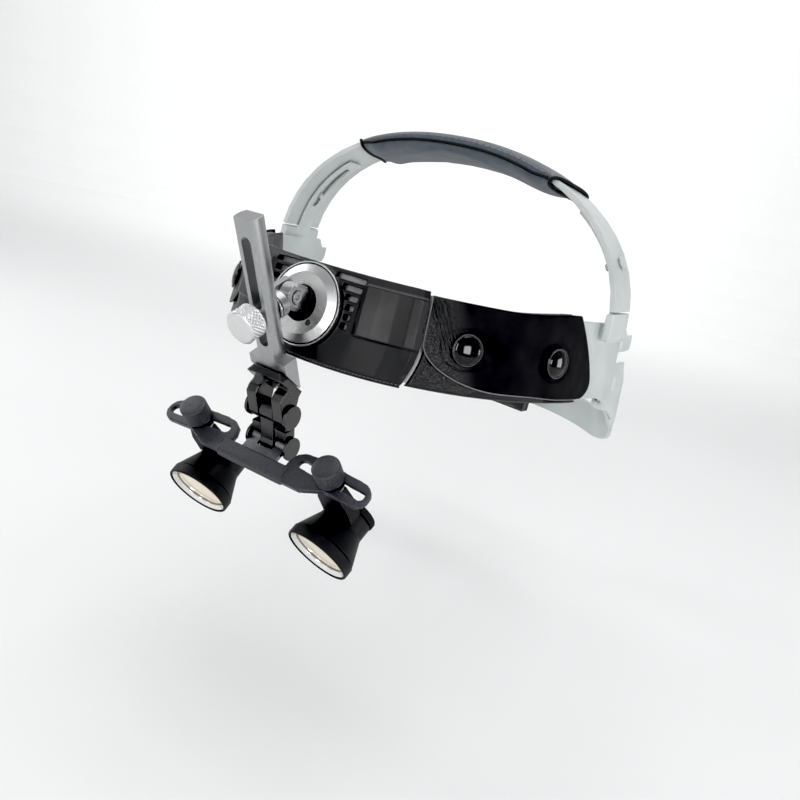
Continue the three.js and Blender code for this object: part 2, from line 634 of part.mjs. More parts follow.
function hingeBracket() {
  const [ay, az] = upperInBar;
  // The plate lies under the foot's slanted face.
  const plate = sideProfile(
    [[-0.75, -53.6], [-3.1, -55.2], [-1.6, -57.8], [4.2, -66.8], [6.6, -65.2]],
    -KNUCKLE.outer,
    KNUCKLE.outer,
  );
  const corner = (side) => box(5, 6, 5, [0, 0, 0]).rotateY(rad(45)).translate(side * 9.4, -1.6, -53.6);
  const towers = [-1, 1].map((side) => {
    const [from, to] = side > 0 ? [KNUCKLE.inner, KNUCKLE.outer] : [-KNUCKLE.outer, -KNUCKLE.inner];
    const web = sideProfile(
      [[ay - 4, az], [ay - 3.4, -63.4], [-2.6, -61.4], [0, -60.5], [4.6, -66.6], [ay + 4, az + 1.4]],
      from,
      to,
    );
    return join(web, rod("x", KNUCKLE.radius, from, to, upperInBar, 24));
  });
  const bore = rod("x", KNUCKLE.bore, -12, 12, upperInBar, 14);
  const clear = rod("x", KNUCKLE.eye + 0.45, -KNUCKLE.inner + 0.05, KNUCKLE.inner - 0.05, upperInBar, 24);
  const screwHole = rod("y", 1.3, -6, 4, [0, 0], 16).rotateX(rad(-32)).translate(0, 0, -58.6);
  return cut(join(plate, ...towers), bore, clear, corner(1), corner(-1), screwHole);
}

add("hinge_bracket", hingeBracket(), "blackMetal", barFrame);

function hingePin(capFrom, capRadius) {
  const shaft = rod("x", KNUCKLE.pin, -9.2, 9.2, [0, 0], 14);
  const caps = [-1, 1].map((side) => {
    const [from, to] = side > 0 ? [capFrom, capFrom + 1.1] : [-capFrom - 1.1, -capFrom];
    return rod("x", capRadius, from, to, [0, 0], 24);
  });
  return join(shaft, ...caps);
}

add("upper_hinge_pin", hingePin(8.5, KNUCKLE.cap), "blackMetal").position.set(0, ...UPPER_AXIS);

// Link frame: z points from the lower axis to the upper one.
const linkRun = [UPPER_AXIS[0] - LOWER_AXIS[0], UPPER_AXIS[1] - LOWER_AXIS[1]];
const linkLength = Math.hypot(...linkRun);
const linkLean = THREE.MathUtils.radToDeg(Math.atan2(-linkRun[0], linkRun[1]));
const linkFrame = tiltedGroup(0, ...LOWER_AXIS, linkLean);

function hingeLink() {
  const halfEye = KNUCKLE.inner - GAP;
  const eyes = [0, linkLength].map((z) => rod("x", KNUCKLE.eye, -halfEye, halfEye, [0, z], 24));
  const web = box(2 * halfEye, 6.6, linkLength, [0, 0, linkLength / 2]);
  const shoulders = box(2 * KNUCKLE.outer, 5.2, 3.7, [0, 0.3, linkLength - 7.65]);
  const bores = [0, linkLength].map((z) => rod("x", KNUCKLE.bore, -12, 12, [0, z], 14));
  return cut(join(...eyes, web, shoulders), ...bores);
}

add("hinge_link", hingeLink(), "blackMetal", linkFrame);
add("lower_hinge_pin", hingePin(8.5, 4.5), "blackMetal").position.set(0, ...LOWER_AXIS);

// The bracket's fixing screw enters the foot at right angles to its slanted face.
const screwFrame = tiltedGroup(0, 0, -58.6, -32, barFrame);
const bracketScrew = turned([[0, -1.8], [1, -1.8], [1, -5.2], [1.9, -5.2], [1.9, -6.4], [0, -6.4]], 16);
add("bracket_screw", bracketScrew.rotateX(-Math.PI / 2), "chrome", screwFrame);

// ---- cross bar -----------------------------------------------------------------------------------
const WING = { mid: -1, half: 5.1, tip: 48.6, slotFrom: 19, slotTo: 45, slotHalf: 1.8 };
const wingY = (x) => WING.mid - (Math.abs(x) - PD_HALF) * Math.tan(rad(PLATE.sweep));

function wingOutline() {
  const tipX = WING.tip - WING.half;
  const half = [
    [13.2, -3.8], [13.2, -0.6], [14.6, 2.6], [17.5, 4.3],
    [22, wingY(22) + WING.half], [tipX, wingY(tipX) + WING.half],
  ];
  for (let i = 1; i < 10; i++) {
    const a = Math.PI / 2 - (i * Math.PI) / 10;
    half.push([tipX + WING.half * Math.cos(a), wingY(tipX) + WING.half * Math.sin(a)]);
  }
  half.push([tipX, wingY(tipX) - WING.half], [32.5, wingY(32.5) - WING.half], [23.5, -9.9], [0, -9.9]);
  const mirrored = half.slice(0, -1).map(([x, y]) => [-x, y]).reverse();
  return new THREE.Shape([...half, ...mirrored].map(([x, y]) => new THREE.Vector2(x, y)));
}

function crossBar() {
  const wings = new THREE.ExtrudeGeometry(wingOutline(), { depth: 2.3, bevelEnabled: false });
  wings.translate(0, 0, -1.3);
  const block = sideProfile(
    [[-3.7, -1.9], [-9.8, -1.9], [-10.5, -1.1], [-9.7, 1.2], [-9, 1.9], [-3.7, 1.9]],
    -15.4,
    15.4,
  );
  const slots = [-1, 1].map((side) => {
    const from = [side * WING.slotFrom, wingY(WING.slotFrom)];
    const to = [side * WING.slotTo, wingY(WING.slotTo)];
    const length = Math.hypot(to[0] - from[0], to[1] - from[1]);
    const turn = Math.atan2(to[1] - from[1], to[0] - from[0]);
    const middle = box(length, 2 * WING.slotHalf, 8).rotateZ(turn);
    middle.translate((from[0] + to[0]) / 2, (from[1] + to[1]) / 2, 0);
    return join(middle, rod("z", WING.slotHalf, -4, 4, from), rod("z", WING.slotHalf, -4, 4, to));
  });
  const leafSlot = box(17.4, 3.4, 2.1, [0, -4.7, -0.3]);
  const topGroove = box(40, 0.5, 0.5, [0, -4.5, 1.9]);
  return cut(join(wings, block), ...slots, leafSlot, topGroove);
}

add("cross_bar", crossBar(), "blackMetal", plateFrame);

const lowerInPlate = seenIn(plateFrame, ...LOWER_AXIS);

function hingeLeaf() {
  const barrels = [-1, 1].map((side) => {
    const [from, to] = side > 0 ? [KNUCKLE.inner, KNUCKLE.outer] : [-KNUCKLE.outer, -KNUCKLE.inner];
    const [y, z] = lowerInPlate;
    const tongue = box(to - from, y + 2.2, 1.5, [(from + to) / 2, (y - 2.2) / 2, -0.3]);
    return join(rod("x", 3, from, to, [y, z], 24), tongue);
  });
  const bridge = box(2 * KNUCKLE.outer, 5.6, 1.5, [0, -3, -0.3]);
  return cut(join(bridge, ...barrels), rod("x", KNUCKLE.bore, -12, 12, lowerInPlate, 14));
}

add("hinge_leaf", hingeLeaf(), "chrome", plateFrame);

// ---- magnifier barrels ---------------------------------------------------------------------------
const BEZEL_END = 4.3;
const CONE_END = 14.7;
const WAIST_END = 20.4;
const CUP_END = 23.6;

// Profiles are [radius, distance back from the objective rim].
const LOUPE_PROFILES = {
  bezel: [
    [12.7, 0], [13.1, 0], [LOUPE.radius, 0.5], [LOUPE.radius, BEZEL_END], [12.8, BEZEL_END], [12.8, 2],
  ],
  barrel: [
    [11.2, 4.6], [13.1, 4.6], [12.9, 5.4], [9.4, 13.9], [LOUPE.waist, CONE_END],
    [LOUPE.waist, WAIST_END], [7, WAIST_END], [7, 15.5], [10.9, 6],
  ],
  lensRing: [[11, 1.7], [12.1, 0.5], [12.4, 0.5], [12.4, 2.2], [11, 2.2]],
  objective: [[0, 1.6], [6, 1.85], [10.3, 2.3], [10.6, 2.5], [12.4, 2.5], [12.4, 3.7], [0, 3.7]],
  eyepiece: [[0, 21.4], [4, 21.6], [7.3, 22.1], [7.3, 20.7], [0, 20.7]],
  eyecup: [
    [7.7, 20.7], [9.3, 20.7], [LOUPE.eyecup, 21.2], [LOUPE.eyecup, 23], [9.3, CUP_END],
    [8.3, CUP_END], [7.7, 22.6],
  ],
};

function loupeNeck() {
  const shape = new THREE.Shape([[-4.4, -2.9], [4.4, -2.9], [6.8, -10], [6.8, -19], [-6.8, -19], [-6.8, -10]]
    .reverse().map(([x, z]) => new THREE.Vector2(x, z)));
  const depth = 5.6;
  const block = new THREE.ExtrudeGeometry(shape, { depth, bevelEnabled: false });
  block.rotateX(Math.PI / 2).translate(0, 2, 0);
  const barrel = rod("y", LOUPE.waist + GAP, -20, 20, [0, -LOUPE.drop], 32);
  return cut(block, barrel, rod("z", 1.4, -8, 0, [0, 0], 20));
}

const PARTS_OF_LOUPE = [
  ["objective_bezel", "bezel", "blackMetal", 32],
  ["barrel", "barrel", "blackMetal", 32],
  ["lens_ring", "lensRing", "silver", 28],
  ["objective_lens", "objective", "glass", 28],
  ["eyepiece_lens", "eyepiece", "glass", 22],
  ["eyecup", "eyecup", "rubber", 26],
];

for (const [side, name] of [[1, "left"], [-1, "right"]]) {
  const station = new THREE.Group();
  station.position.set(side * PD_HALF, wingY(PD_HALF), 0);
  // The optical axes converge slightly ahead of the wearer.
  station.rotation.z = -side * rad(PLATE.sweep);
  plateFrame.add(station);
  const stud = join(rod("z", 1.1, -6.5, 7.4, [0, 0], 14), rod("z", 4.4, -2.6, -1.6, [0, 0], 22));
  add(`${name}_stud`, stud, "blackMetal", station);
  const knob = cut(knurled(5.2, 1.4, 9, 26, 0.28), rod("z", 1.4, 0, 7.8, [0, 0], 20));
  add(`${name}_knob`, knob, "blackMetal", station);
  add(`${name}_neck`, loupeNeck(), "blackMetal", station);
  const optics = new THREE.Group();
  optics.position.set(0, -LOUPE.front, -LOUPE.drop);
  // The optics' own z runs back from the objective rim towards the eye.
  optics.rotation.x = -Math.PI / 2;
  station.add(optics);
  for (const [part, profile, look, segments] of PARTS_OF_LOUPE) {
    add(`${name}_${part}`, turned(LOUPE_PROFILES[profile], segments), look, optics);
  }
}

export default headLoupe;
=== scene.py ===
"""Headband loupe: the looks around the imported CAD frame.

Metres, +Z up, the wearer faces -Y and +X is the wearer's left, as in the CAD frame.
"""
import math

import bmesh
import bpy
import numpy as np
from mathutils import Matrix, Vector


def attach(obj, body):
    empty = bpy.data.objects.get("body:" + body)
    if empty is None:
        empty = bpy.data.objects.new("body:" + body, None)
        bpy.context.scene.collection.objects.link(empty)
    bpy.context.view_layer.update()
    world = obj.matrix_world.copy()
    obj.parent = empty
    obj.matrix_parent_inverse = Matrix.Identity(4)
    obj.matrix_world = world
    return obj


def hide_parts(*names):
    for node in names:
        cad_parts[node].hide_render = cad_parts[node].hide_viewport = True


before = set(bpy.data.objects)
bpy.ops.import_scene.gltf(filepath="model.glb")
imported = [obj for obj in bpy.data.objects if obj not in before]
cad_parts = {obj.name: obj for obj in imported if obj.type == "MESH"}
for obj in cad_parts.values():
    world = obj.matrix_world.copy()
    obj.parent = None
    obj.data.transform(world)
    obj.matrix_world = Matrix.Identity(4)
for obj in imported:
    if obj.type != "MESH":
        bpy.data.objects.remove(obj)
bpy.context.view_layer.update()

MM = 0.001
scene = bpy.context.scene


# ---- camera, light and floor -----------------------------------------------------------------
def place_camera():
    """A close viewpoint from the wearer's left front, a little above, rolled to one side."""
    azimuth, elevation, roll = (math.radians(a) for a in (27.13, 17.9, 13.39))
    back = Vector((
        math.sin(azimuth) * math.cos(elevation),
        -math.cos(azimuth) * math.cos(elevation),
        math.sin(elevation),
    ))
    level = Vector((math.cos(azimuth), math.sin(azimuth), 0))
    upright = back.cross(level)
    right = math.cos(roll) * level + math.sin(roll) * upright
    up = math.cos(roll) * upright - math.sin(roll) * level
    camera = bpy.data.objects.new("camera", bpy.data.cameras.new("camera"))
    scene.collection.objects.link(camera)
    camera.data.sensor_width = 36
    camera.data.lens = 30.57
    camera.data.shift_x = 0.0016
    camera.data.shift_y = 0.0392
    camera.data.clip_start = 0.01
    place = Matrix((right, up, back)).transposed().to_4x4()
    place.translation = Vector((0.1484, -0.3003, 0.0412))
    camera.matrix_world = place
    scene.camera = camera


def area_light(name, at, aim, size, power):
    light = bpy.data.objects.new(name, bpy.data.lights.new(name, "AREA"))
    scene.collection.objects.link(light)
    light.data.shape = "RECTANGLE"
    light.data.size, light.data.size_y = size
    light.data.energy = power
    light.location = at
    light.rotation_euler = (Vector(aim) - Vector(at)).to_track_quat("-Z", "Y").to_euler()


def studio():
    """Soft area lights, a dim even sky and the floor."""
    world = bpy.data.worlds.new("studio")
    scene.world = world
    world.use_nodes = True
    background = world.node_tree.nodes["Background"]
    background.inputs["Color"].default_value = (0.95, 0.97, 1.0, 1)
    background.inputs["Strength"].default_value = 0.34
    area_light("key", (0.2, -1.06, 0.24), (0, -0.08, 0), (0.14, 0.6), 3.2)
    area_light("disc_panel", (-0.46, -1.02, 0.13), (0, -0.11, 0), (0.35, 0.5), 0.8)
    area_light("window", (0.93, -0.53, 0.16), (0.06, -0.05, 0), (0.3, 0.3), 2.8)
    area_light("rear_window", (0.97, 0.36, 0.05), (0.08, 0, 0), (0.26, 0.26), 1.4)
    area_light("left_strip", (-0.9, -0.25, 0.4), (0, -0.08, 0), (0.2, 0.8), 2.5)
    area_light("overhead", (0, 0.1, 1.5), (0, 0.101, 0), (1.4, 1.4), 13)
    area_light("backdrop", (-0.8, 1.4, 1.6), (-1.7, 3.3, 0.4), (2.6, 1.3), 36)
    area_light("far_floor", (-0.6, 1.2, 1.7), (-0.8, 1.6, -0.16), (2.4, 2.4), 12)
    scene.view_settings.view_transform = "Standard"
    scene.view_settings.use_curve_mapping = True
    scene.view_settings.curve_mapping.black_level = (0.019,) * 3
    scene.view_settings.curve_mapping.update()
    floor()


def floor():
    """A round floor that curves up into a pale wall all the way round."""
    level, flat, bend, height, around = -0.16, 2.2, 1.2, 2.6, 96
    profile = [(flat / 2, 0), (flat, 0)]
    for a in np.radians(range(10, 91, 10)):
        profile.append((flat + bend * math.sin(a), bend * (1 - math.cos(a))))
    profile.append((flat + bend, height))
    turns = np.arange(around) * 2 * math.pi / around
    points = [(r * math.cos(a), r * math.sin(a), level + z) for r, z in profile for a in turns]
    faces = grid_faces(len(profile), around, 0, True)
    faces.append(tuple(reversed(range(around))))
    paint = material("floor_white", (0.78, 0.78, 0.78), 0.8, specular_ior_level=0.1)
    return mesh_object("floor", points, faces, paint, smooth=False)


# ---- materials -------------------------------------------------------------------------------
def material(name, colour, roughness, metallic=0.0, **inputs):
    made = bpy.data.materials.new(name)
    made.use_nodes = True
    shader = made.node_tree.nodes["Principled BSDF"]
    shader.inputs["Base Color"].default_value = (*colour, 1)
    shader.inputs["Roughness"].default_value = roughness
    shader.inputs["Metallic"].default_value = metallic
    for key, value in inputs.items():
        shader.inputs[key.replace("_", " ").title().replace("Ior", "IOR")].default_value = value
    return made


class Nodes:
    """Small helper that adds procedural detail to a material."""

    def __init__(self, made):
        self.tree = made.node_tree
        self.shader = self.tree.nodes["Principled BSDF"]
        coordinates = self.add("ShaderNodeTexCoord")
        self.place = coordinates.outputs["Object"]
        self.normal = None

    def add(self, kind, **values):
        node = self.tree.nodes.new(kind)
        for key, value in values.items():
            if hasattr(node, key):
                setattr(node, key, value)
            else:
                node.inputs[key].default_value = value
        return node

    def link(self, output, target):
        self.tree.links.new(output, target)

    def mapped(self, rotation):
        node = self.add("ShaderNodeMapping")
        node.inputs["Rotation"].default_value = rotation
        self.link(self.place, node.inputs["Vector"])
        return node.outputs["Vector"]

    def noise(self, scale, detail=4, roughness=0.55):
        node = self.add("ShaderNodeTexNoise", Scale=scale, Detail=detail, Roughness=roughness)
        self.link(self.place, node.inputs["Vector"])
        return node.outputs["Fac"]

    def cells(self, scale, feature, vector):
        node = self.add("ShaderNodeTexVoronoi", feature=feature, Scale=scale)
        self.link(vector, node.inputs["Vector"])
        return node.outputs["Distance"]

    def wave(self, scale, kind, direction, vector, distortion):
        node = self.add("ShaderNodeTexWave", wave_type=kind, Scale=scale, Distortion=distortion)
        if kind == "BANDS":
            node.bands_direction = direction
        else:
            node.rings_direction = direction
        self.link(vector, node.inputs["Vector"])
        return node.outputs["Fac"]

    def ramp(self, value, low, high, start=0.0, end=1.0):
        node = self.add("ShaderNodeMapRange")
        limits = {"From Min": start, "From Max": end, "To Min": low, "To Max": high}
        for key, number in limits.items():
            node.inputs[key].default_value = number
        self.link(value, node.inputs["Value"])
        return node.outputs["Result"]

    def mix(self, value, first, second):
        node = self.add("ShaderNodeMix", data_type="RGBA")
        node.inputs[6].default_value = (*first, 1)
        node.inputs[7].default_value = (*second, 1)
        self.link(value, node.inputs[0])
        return node.outputs[2]

    def math(self, operation, first, second):
        node = self.add("ShaderNodeMath", operation=operation)
        for socket, value in zip(node.inputs, (first, second)):
            if isinstance(value, (int, float)):
                socket.default_value = value
            else:
                self.link(value, socket)
        return node.outputs[0]

    def bump(self, height, distance, strength=1.0):
        node = self.add("ShaderNodeBump", Distance=distance, Strength=strength)
        self.link(height, node.inputs["Height"])
        if self.normal:
            self.link(self.normal, node.inputs["Normal"])
        self.normal = node.outputs["Normal"]
        self.link(self.normal, self.shader.inputs["Normal"])

    def colour(self, output):
        self.link(output, self.shader.inputs["Base Color"])

    def roughness(self, output):
        self.link(output, self.shader.inputs["Roughness"])

    def edge_wear_and_highlight(self, radius, sharpest):
        """Where handling rubs and where edges catch the light: 1 along sharp edges, 0 on the faces
        between them.
        """
        bevel = self.add("ShaderNodeBevel", samples=4)
        bevel.inputs["Radius"].default_value = radius * MM
        geometry = self.add("ShaderNodeNewGeometry")
        agree = self.add("ShaderNodeVectorMath", operation="DOT_PRODUCT")
        self.link(bevel.outputs["Normal"], agree.inputs[0])
        self.link(geometry.outputs["Normal"], agree.inputs[1])
        return self.ramp(agree.outputs["Value"], 0, 1, 0.995, sharpest)


def moulded(name, colour, roughness, grain=900, depth=0.02, **inputs):
    """Injection-moulded plastic: a fine eroded grain and a slow change of gloss."""
    made = material(name, colour, roughness, **inputs)
    n = Nodes(made)
    n.roughness(n.ramp(n.noise(60, 3), roughness - 0.05, roughness + 0.08, 0.3, 0.7))
    brighter = tuple(min(c * 1.2 + 0.001, 1) for c in colour)
    n.colour(n.mix(n.ramp(n.noise(35, 2), 0, 1, 0.35, 0.65), colour, brighter))
    n.bump(n.noise(grain, 3), depth * MM)
    return made


def blasted(
    name, colour, roughness, wear_and_highlight, metallic=1.0, grain=2600, depth=0.02, speckle=1.15, **inputs
):
    """Bead-blasted or anodised metal, its edges given a colour that is partly wear and partly a
    painted highlight.
    """
    made = material(name, colour, roughness, metallic, **inputs)
    n = Nodes(made)
    tone = tuple(min(c * speckle, 1) for c in colour)
    base = n.mix(n.ramp(n.noise(grain, 2, 0.7), 0, 1, 0.4, 0.68), colour, tone)
    patches = n.ramp(n.noise(300, 4), 0, 0.6, 0.42, 0.62)
    # Partly wear, partly painted highlight: sharp edges take the edge colour in patches.
    rub_and_highlight = n.math("MULTIPLY", n.edge_wear_and_highlight(0.35, 0.93), patches)
    blend = n.add("ShaderNodeMix", data_type="RGBA")
    n.link(rub_and_highlight, blend.inputs[0])
    n.link(base, blend.inputs[6])
    blend.inputs[7].default_value = (*wear_and_highlight, 1)
    n.colour(blend.outputs[2])
    n.roughness(n.ramp(n.noise(120, 3), roughness - 0.05, roughness + 0.08, 0.3, 0.7))
    n.bump(n.noise(grain, 2, 0.7), depth * MM)
    return made


def turned_metal(name, colour, roughness, pitch, rotation):
    """Lathe-turned metal: fine concentric cutter marks round the piece's own axis."""
    made = material(name, colour, roughness, 1.0)
    n = Nodes(made)
    local = n.mapped(rotation)
    rings = n.wave(1 / pitch, "RINGS", "Z", local, 0.4)
    n.roughness(n.ramp(n.noise(90, 3), roughness - 0.07, roughness + 0.08, 0.3, 0.7))
    n.bump(rings, 0.006 * MM)
    n.bump(n.noise(700, 3), 0.006 * MM)
    return made


def leather():
    """Pebbled and glossy where the mesh's grain attribute is 1, smooth and matt where it is 0."""
    made = material("black_leather", (0.006, 0.006, 0.007), 0.5)
    n = Nodes(made)
    grain = n.add("ShaderNodeAttribute", attribute_name="grain").outputs["Fac"]
    warp = n.add("ShaderNodeVectorMath", operation="MULTIPLY_ADD")
    noise = n.add("ShaderNodeTexNoise", Scale=320, Detail=2)
    n.link(n.place, noise.inputs["Vector"])
    n.link(noise.outputs["Color"], warp.inputs[0])
    warp.inputs[1].default_value = (0.0012,) * 3
    n.link(n.place, warp.inputs[2])
    pebble = n.ramp(n.cells(1700, "SMOOTH_F1", warp.outputs[0]), 1, 0, 0.05, 0.7)
    crease = n.ramp(n.cells(760, "DISTANCE_TO_EDGE", warp.outputs[0]), 0, 1, 0, 0.16)
    n.bump(n.math("MULTIPLY", crease, grain), 0.07 * MM, 0.7)
    n.bump(n.math("MULTIPLY", pebble, n.ramp(grain, 0.12, 1)), 0.09 * MM, 0.9)
    n.bump(n.noise(3600, 3), 0.012 * MM)
    matt = n.ramp(n.noise(150, 4), 0.50, 0.62, 0.3, 0.7)
    n.roughness(n.math("SUBTRACT", matt, n.ramp(grain, 0, 0.2)))
    n.link(n.ramp(grain, 0.12, 0.4), n.shader.inputs["Specular IOR Level"])
    patches = n.ramp(n.noise(45, 3), 0, 1, 0.35, 0.7)
    n.colour(n.mix(patches, (0.004, 0.004, 0.005), (0.009, 0.009, 0.011)))
    return made


def woven(name, dark, light, pitch):
    """A plain weave of two sets of yarns, in the row frame's axes."""
    made = material(name, dark, 0.88, sheen_weight=0.35, sheen_roughness=0.5)
    n = Nodes(made)
    turned = n.mapped((0.6, 0.35, 0.5))
    first = n.wave(1 / pitch, "BANDS", "X", turned, 0.6)
    second = n.wave(1 / pitch, "BANDS", "Z", turned, 0.6)
    yarns = n.math("MAXIMUM", first, second)
    n.colour(n.mix(n.math("MULTIPLY", yarns, n.noise(400, 3)), dark, light))
    n.bump(yarns, 0.09 * MM)
    n.bump(n.noise(1500, 4), 0.05 * MM)
    return made


def coated_glass(name, seen_colour):
    """A lens with an anti-reflection coating, painted in the colour seen through it and a little
    brighter where it is seen edge on, as a painted reflection.
    """
    made = material(name, seen_colour, 0.03, specular_ior_level=0.9, coat_weight=1.0)
    n = Nodes(made)
    edge_on_sheen = n.add("ShaderNodeLayerWeight", Blend=0.4)
    # Painted reflection: the colour brightens where the lens is seen edge on.
    n.colour(n.mix(edge_on_sheen.outputs["Facing"], seen_colour, tuple(min(c * 1.35, 1) for c in seen_colour)))
    n.bump(n.noise(40, 2), 0.003 * MM)
    n.roughness(n.ramp(n.noise(30, 2), 0.015, 0.05, 0.3, 0.7))
    return made


# ---- the CAD frame's own geometry, in millimetres --------------------------------------------
RING = dict(half=87, front=130, rear=70, centre=30, power=2.2)
ARCH = dict(half=88, height=66, base=8, power=2.2)
CROWN_Y = -7.5  # the crown strap's middle line
LEAN = dict(side=6.2, front=12.6)  # how far the band leans outwards, in degrees
PER_DEGREE = 1.72  # length along the leather for a degree of theta
DISC_TILT = math.radians(90 - LEAN["front"])
DISC_AT = (0, -100, 0.3)
BAR_LEAN = math.radians(25.9)
PLATE_PITCH = math.radians(39.4)


def superellipse(angle, a, b, power):
    c, s = np.cos(angle), np.sin(angle)
    r = (np.abs(c / a) ** power + np.abs(s / b) ** power) ** (-1 / power)
    nx = np.sign(c) * np.abs(r * c / a) ** (power - 1) / a
    ny = np.sign(s) * np.abs(r * s / b) ** (power - 1) / b
    length = np.hypot(nx, ny)
    return r * c, r * s, nx / length, ny / length


def band(theta, v, off):
    """Points of the headband: theta in degrees round from the forehead, v up it, off outwards."""
    theta, v, off = np.broadcast_arrays(*(np.asarray(a, float) for a in (theta, v, off)))
    angle = np.radians(theta - 90)
    reach = np.where(np.sin(angle) < 0, RING["front"], RING["rear"])
    x, y, nx, ny = superellipse(angle, RING["half"], reach, RING["power"])
    front = np.where(ny < 0, LEAN["front"], 0)
    lean = np.radians(LEAN["side"] + (front - LEAN["side"]) * ny ** 2)
    s, c = np.sin(lean), np.cos(lean)
    points = np.stack([
        x - nx * s * v + nx * c * off,
        y + RING["centre"] - ny * s * v + ny * c * off,
        c * v + s * off,
    ], axis=-1)
    return points * MM


def arch(u, y, off):
    """Points of the crown strap's arch: u is its polar angle in degrees, off is outwards."""
    u, y, off = np.broadcast_arrays(*(np.asarray(a, float) for a in (u, y, off)))
    x, z, nx, nz = superellipse(np.radians(u), ARCH["half"], ARCH["height"], ARCH["power"])
    return np.stack([x + nx * off, y, ARCH["base"] + z + nz * off], axis=-1) * MM


def smoothstep(value, low, high):
    t = np.clip((np.asarray(value, float) - low) / (high - low), 0, 1)
    return t * t * (3 - 2 * t)


# ---- mesh building ---------------------------------------------------------------------------
def mesh_object(name, points, faces, paint=None, smooth=True):
    mesh = bpy.data.meshes.new(name)
    mesh.from_pydata([tuple(p) for p in points], [], faces)
    mesh.validate()
    if smooth:
        mesh.shade_smooth()
    made = bpy.data.objects.new(name, mesh)
    scene.collection.objects.link(made)
    if paint:
        mesh.materials.append(paint)
    return made


def grid_faces(rows, columns, start=0, closed=False):
    faces = []
    for i in range(rows - 1):
        for j in range(columns if closed else columns - 1):
            k = (j + 1) % columns
            a, b = start + i * columns + j, start + i * columns + k
            faces.append((a, b, b + columns, a + columns))
    return faces


def slab(name, outer, inner, paint):
    """A closed sheet from two grids of points, with the rims stitched together."""
    rows, columns = outer.shape[:2]
    count = rows * columns
    points = np.concatenate([outer.reshape(-1, 3), inner.reshape(-1, 3)])
    faces = grid_faces(rows, columns)
    faces += [tuple(count + k for k in reversed(f)) for f in grid_faces(rows, columns)]
    rim = list(range(columns))
    rim += [i * columns + columns - 1 for i in range(1, rows)]
    rim += [(rows - 1) * columns + j for j in range(columns - 2, -1, -1)]
    rim += [i * columns for i in range(rows - 2, 0, -1)]
    for a, b in zip(rim, rim[1:] + rim[:1]):
        faces.append((b, a, a + count, b + count))
    return mesh_object(name, points, faces, paint)


def lathe(name, profile, segments, paint, place=None, radius_at=None):
    """A turned piece about +Z from (radius, z) pairs in millimetres, from axis to axis."""
    rings = profile[1:-1]
    angles = np.arange(segments) * 2 * math.pi / segments
    points = [(0, 0, profile[0][1])]
    for r, z in rings:
        radii = radius_at(r, z, angles) if radius_at else np.full(segments, r)
        points += [(q * math.cos(a), q * math.sin(a), z) for q, a in zip(radii, angles)]
    points.append((0, 0, profile[-1][1]))
    last = len(points) - 1
    faces = [(0, 1 + (j + 1) % segments, 1 + j) for j in range(segments)]
    faces += grid_faces(len(rings), segments, 1, True)
    end = 1 + (len(rings) - 1) * segments
    faces += [(last, end + j, end + (j + 1) % segments) for j in range(segments)]
    made = mesh_object(name, np.array(points) * MM, faces, paint)
    fix_normals(made)
    if place is not None:
        made.data.transform(place)
    return made


def fix_normals(obj):
    work = bmesh.new()
    work.from_mesh(obj.data)
    bmesh.ops.recalc_face_normals(work, faces=work.faces)
    work.to_mesh(obj.data)
    work.free()


def apply_modifiers(obj):
    bpy.context.view_layer.update()
    graph = bpy.context.evaluated_depsgraph_get()
    baked = bpy.data.meshes.new_from_object(obj.evaluated_get(graph))
    obj.modifiers.clear()
    obj.data = baked
    return obj


def vertices(obj):
    points = np.empty(len(obj.data.vertices) * 3)
    obj.data.vertices.foreach_get("co", points)
    return points.reshape(-1, 3)


def set_vertices(obj, points):
    obj.data.vertices.foreach_set("co", points.ravel())
    obj.data.update()


def subdivided(obj, levels):
    modifier = obj.modifiers.new("subdivide", "SUBSURF")
    modifier.levels = modifier.render_levels = levels
    return apply_modifiers(obj)


def refined(node, voxel, smooth, paint, name=None):
    """A moulded copy of a CAD node: remeshed finely and relaxed, so every edge has a radius."""
    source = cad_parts[node]
    made = bpy.data.objects.new(name or node + "_moulded", source.data.copy())
    scene.collection.objects.link(made)
    made.data.materials.clear()
    weld = made.modifiers.new("weld", "WELD")
    weld.merge_threshold = 1e-6
    remesh = made.modifiers.new("remesh", "REMESH")
    remesh.mode = "VOXEL"
    remesh.voxel_size = voxel * MM
    relax = made.modifiers.new("relax", "SMOOTH")
    relax.factor = 0.5
    relax.iterations = smooth
    apply_modifiers(made)
    made.data.shade_smooth()
    made.data.materials.clear()
    made.data.materials.append(paint)
    return made


def inflate(obj, cap, allow=None, pressure=4.0, frames=18):
    """Swells a closed pad by cloth simulation, no point by more than cap millimetres.

    allow scales each point's move from 0 to 1.
    """
    rest = vertices(obj)
    cloth = obj.modifiers.new("cloth", "CLOTH")
    cloth.settings.use_pressure = True
    cloth.settings.uniform_pressure_force = pressure
    cloth.settings.effector_weights.gravity = 0
    cloth.settings.quality = 5
    cloth.collision_settings.use_collision = False
    for number in range(1, frames + 1):
        scene.frame_set(number)
    graph = bpy.context.evaluated_depsgraph_get()
    swollen = obj.evaluated_get(graph).to_mesh()
    points = np.empty(len(swollen.vertices) * 3)
    swollen.vertices.foreach_get("co", points)
    move = points.reshape(-1, 3) - rest
    far = np.linalg.norm(move, axis=1, keepdims=True)
    move *= np.minimum(1, cap * MM / np.maximum(far, 1e-9))
    if allow is not None:
        move *= allow[:, None]
    obj.modifiers.clear()
    scene.frame_set(1)
    set_vertices(obj, rest + move)
    return obj


def ready(obj, body, slot, *nodes):
    """The piece rides on its body and stands for its CAD nodes, which it hides; the slot is not
    used.
    """
    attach(obj, body)
    if nodes:
        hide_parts(*nodes)
    return obj


def local_frame(origin, tilt):
    """The matrix of a CAD group: its origin in millimetres and its turn about X."""
    return Matrix.Translation(Vector(origin) * MM) @ Matrix.Rotation(tilt, 4, "X")
